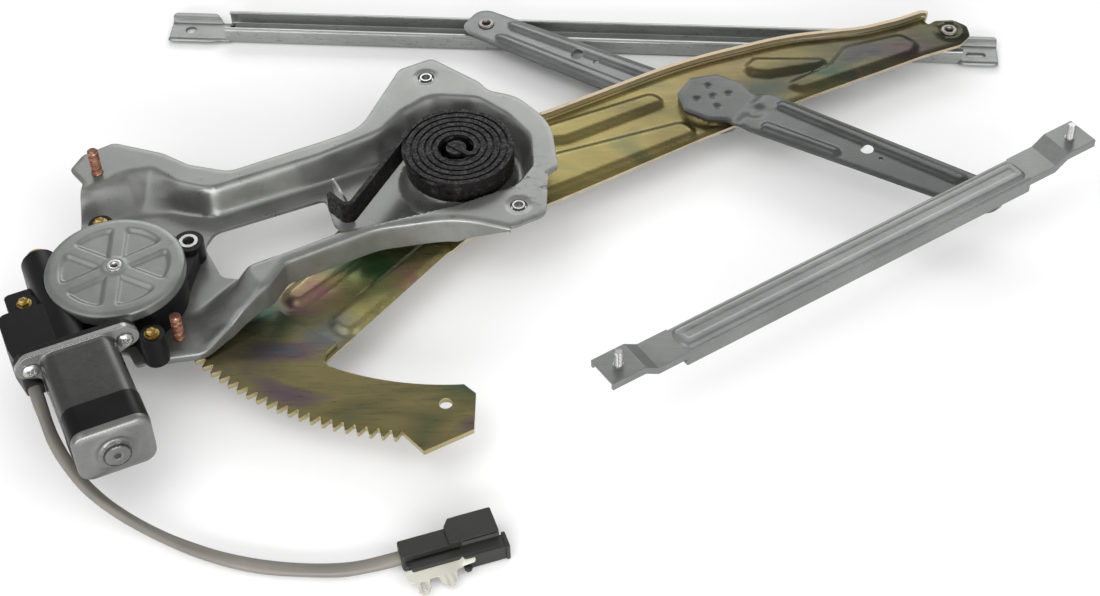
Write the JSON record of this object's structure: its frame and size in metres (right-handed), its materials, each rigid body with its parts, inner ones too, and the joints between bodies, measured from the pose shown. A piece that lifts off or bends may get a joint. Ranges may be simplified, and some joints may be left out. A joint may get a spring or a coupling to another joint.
{
  "type": "window regulator",
  "caption": "Electric scissor-arm window regulator for a car door, with toothed sector, clock spring, gear motor, cross arms and guide rails.",
  "frame": {"origin": "foot of the rear mounting stud, on the plate's mounting face", "axes": "+Z along the studs, towards the door panel; +X along the length of the regulator, from the motor towards the glass rail's free end"},
  "size_m": [0.58, 0.4435, 0.0588],
  "materials": {
    "plate_zinc": "dull zinc",
    "rail_zinc": "brushed zinc",
    "cover_zinc": "satin",
    "yellow_zinc": "yellow chromate",
    "stud_copper": "thread locked",
    "bright_steel": "bright",
    "gold_steel": "yellow zinc",
    "spring_steel": "oiled",
    "dark_steel": "dark",
    "black_plastic": "matt",
    "nylon": "natural",
    "rubber": "matt",
    "can_steel": "satin",
    "band_black": "matt",
    "ferrite": "matt",
    "copper": "bright",
    "bronze": "porous",
    "sleeve": "matt",
    "clip_plastic": "matt"
  },
  "bodies": {
    "base": {"back_plate": "plate_zinc", "plate_studs": "stud_copper", "clinch_nuts": "bright_steel", "pivot_bushing": "bronze", "clock_spring": "spring_steel", "gear_housing": "black_plastic", "gear_cover": "cover_zinc", "cover_rivet": "bright_steel", "mount_screws": "gold_steel", "mount_bush": "bright_steel", "motor_can": "can_steel", "can_band": "band_black", "can_screws": "bright_steel", "motor_magnets": "ferrite", "brush_card": "nylon", "shaft_bearings": "bronze", "motor_cable": "sleeve", "strain_relief": "rubber", "connector_housing": "black_plastic", "connector_terminals": "bronze", "connector_clip": "clip_plastic"},
    "lift_arm": {"sector_gear": "yellow_zinc", "lift_arm": "yellow_zinc", "pivot_arbor": "dark_steel", "arm_roller_pin": "bright_steel"},
    "aux_arm": {"aux_low_half": "plate_zinc", "aux_high_half": "plate_zinc", "centre_collar": "plate_zinc", "aux_roller_pin": "bright_steel", "lower_roller_pin": "bright_steel"},
    "drive_pinion": {"worm_wheel": "nylon", "damper": "rubber", "output_pinion": "bright_steel"},
    "armature": {"armature_shaft": "bright_steel", "armature_core": "dark_steel", "commutator": "copper"},
    "arm_roller": {"arm_roller": "nylon"},
    "aux_roller": {"aux_roller": "nylon"},
    "glass_rail": {"glass_rail": "rail_zinc"},
    "lower_roller": {"lower_roller": "nylon"},
    "lower_rail": {"lower_rail": "rail_zinc", "lower_rail_studs": "bright_steel"}
  },
  "joints": [
    {"name": "arm_lift", "type": "hinge", "parent": "base", "child": "lift_arm", "pos_m": [0.196, 0, -0.022], "axis": [0, 0, 1], "range_deg": [-54, 8], "deforming": ["clock_spring"]},
    {"name": "aux_pivot", "type": "hinge", "parent": "lift_arm", "child": "aux_arm", "pos_m": [0.3415, 0.0687, -0.022], "axis": [0, 0, 1], "range_deg": [-16, 108]},
    {"name": "arm_roller_turn", "type": "hinge", "parent": "lift_arm", "child": "arm_roller", "pos_m": [0.4872, 0.1264, -0.0378], "axis": [0, 0, 1], "range_deg": [-8, 54]},
    {"name": "glass_rail_slide", "type": "slide", "parent": "arm_roller", "child": "glass_rail", "axis": [0.9943, -0.1071, 0], "range_m": [0, 0.11]},
    {"name": "aux_roller_spin", "type": "hinge", "parent": "aux_arm", "child": "aux_roller", "pos_m": [0.2114, 0.1561, -0.0378], "axis": [0, 0, 1], "continuous": true},
    {"name": "lower_roller_swivel", "type": "hinge", "parent": "aux_arm", "child": "lower_roller", "pos_m": [0.4851, -0.0278, -0.0104], "axis": [0, 0, 1], "range_deg": [-5, 115]},
    {"name": "lower_rail_slide", "type": "slide", "parent": "lower_roller", "child": "lower_rail", "axis": [0.8532, 0.5216, 0], "range_m": [-0.008, 0.134]},
    {"name": "pinion_spin", "type": "hinge", "parent": "base", "child": "drive_pinion", "pos_m": [0.02046, -0.0826, -0.022], "axis": [0, 0, 1], "range_deg": [-104, 696]},
    {"name": "armature_spin", "type": "hinge", "parent": "base", "child": "armature", "pos_m": [-0.01037, -0.09569, -0.002], "axis": [0.3907, -0.9205, 0], "range_deg": [-6200, 41700]}
  ],
  "couplings": [
    {"joint": "aux_pivot", "follows": "arm_lift", "ratio": -2},
    {"joint": "arm_roller_turn", "follows": "arm_lift", "ratio": -1},
    {"joint": "pinion_spin", "follows": "arm_lift", "ratio": -12.857},
    {"joint": "armature_spin", "follows": "arm_lift", "ratio": -771.43}
  ]
}
